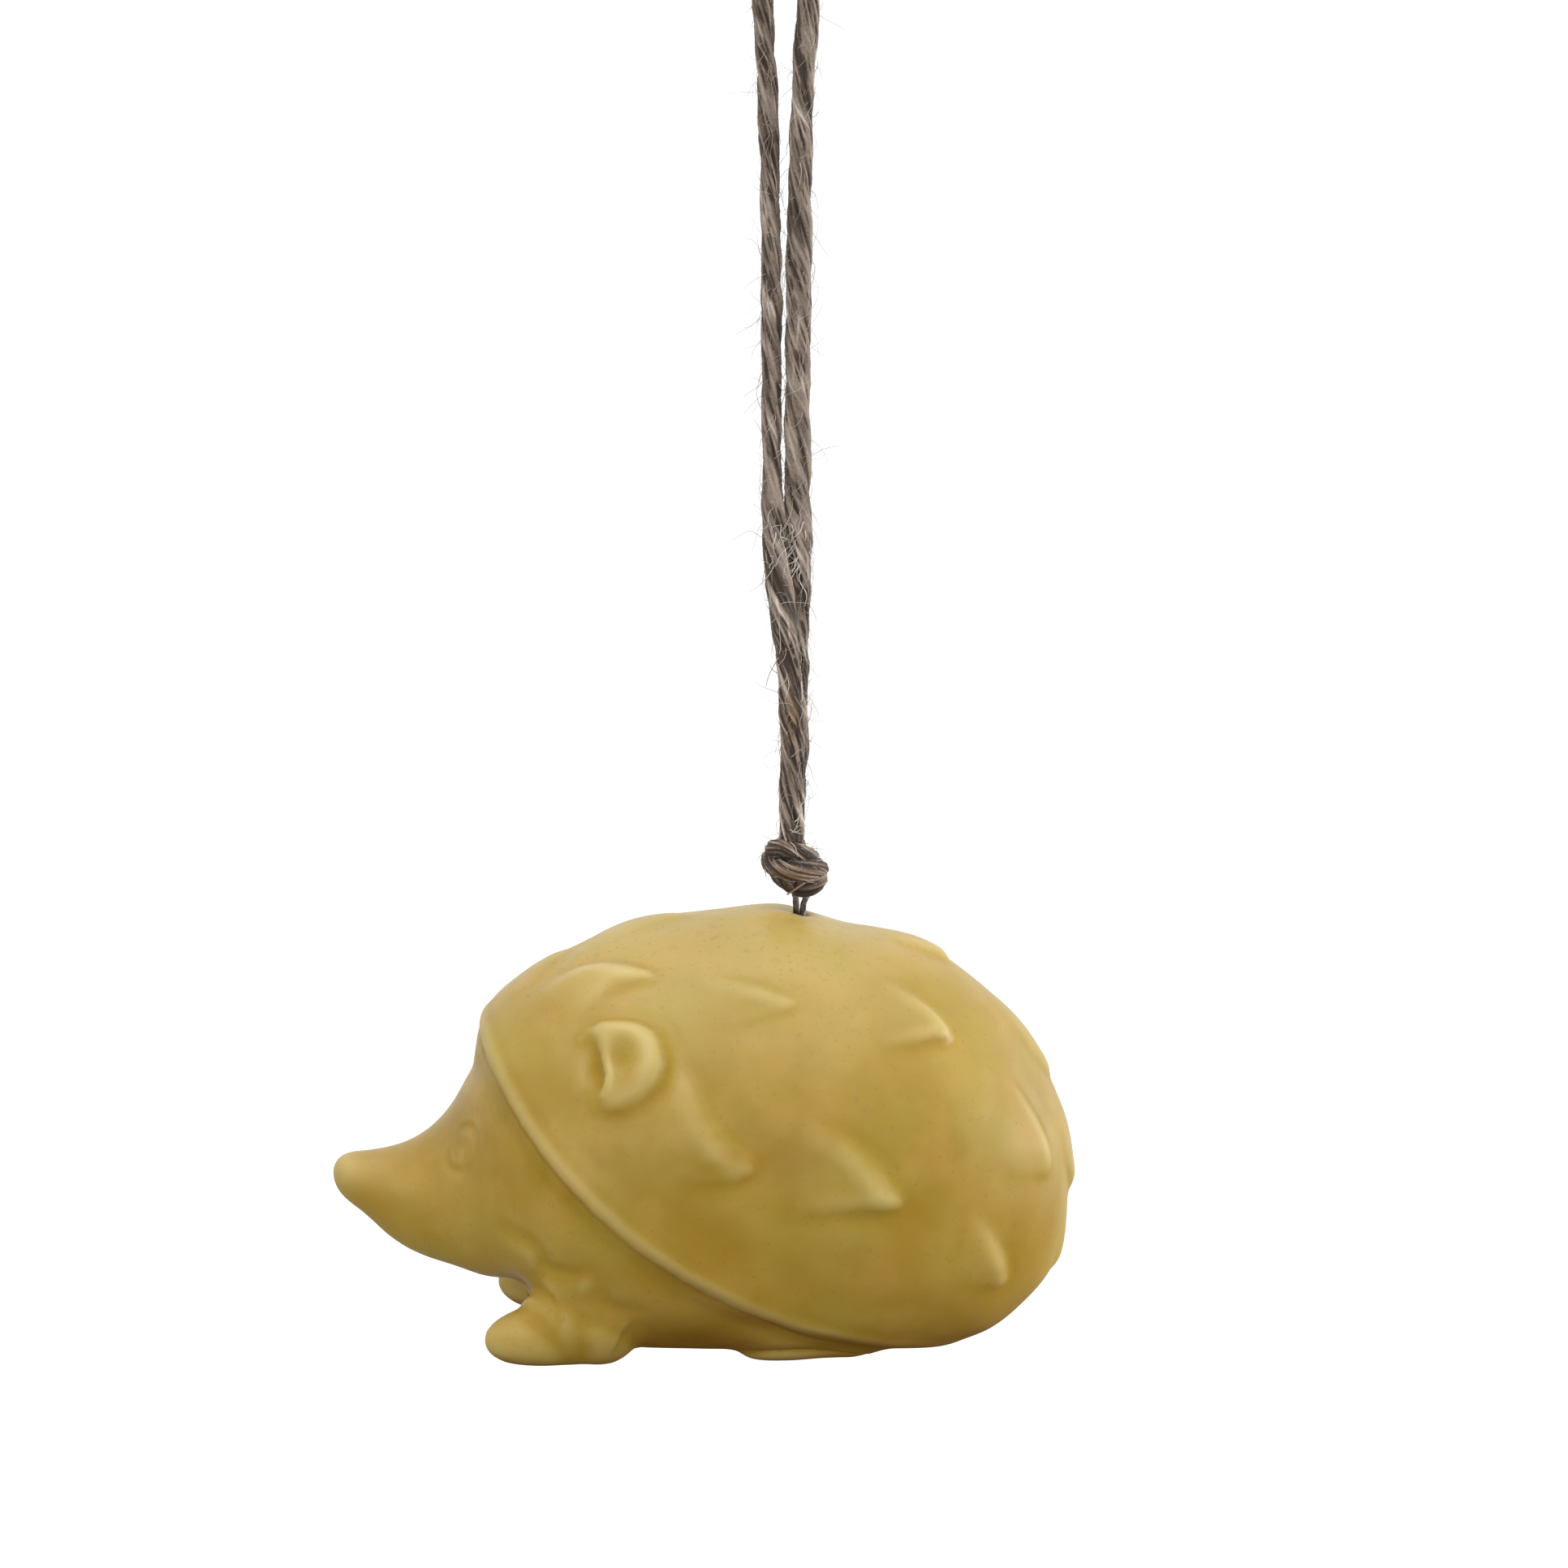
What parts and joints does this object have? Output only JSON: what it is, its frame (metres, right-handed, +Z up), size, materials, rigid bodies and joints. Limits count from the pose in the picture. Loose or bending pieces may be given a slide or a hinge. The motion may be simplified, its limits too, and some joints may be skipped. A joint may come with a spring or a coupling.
{
  "type": "hanging hedgehog figurine",
  "caption": "Small hollow ceramic hedgehog with a relief coat of spines, hung from a wire eye and a knotted loop of jute twine.",
  "frame": {"origin": "under the top bend of the twine loop, where a hook bears", "axes": "+Z up, the snout points along -X, Y across the animal"},
  "size_m": [0.0652, 0.0382, 0.1241],
  "materials": {
    "glaze": "satin mustard-yellow glaze with faint speckles",
    "wire": "dark oxidised wire",
    "twine": "grey-brown jute"
  },
  "bodies": {
    "twine": {"twine_loop": "twine"},
    "knot": {"twine_knot": "twine"},
    "hanger": {"wire_hanger": "wire"},
    "hedgehog": {"ceramic_body": "glaze"}
  },
  "joints": [
    {"name": "cord_sway", "type": "hinge", "parent": "twine", "child": "knot", "pos_m": [0.0006, 0, -0.0793], "axis": [1, 0, 0], "range_deg": [-25, 25]},
    {"name": "hanger_swing", "type": "hinge", "parent": "knot", "child": "hanger", "pos_m": [0.00125, 0, -0.0817], "axis": [0, 1, 0], "range_deg": [-35, 35]},
    {"name": "body_spin", "type": "hinge", "parent": "hanger", "child": "hedgehog", "pos_m": [0.00125, 0, -0.084], "axis": [0, 0, 1], "continuous": true}
  ]
}
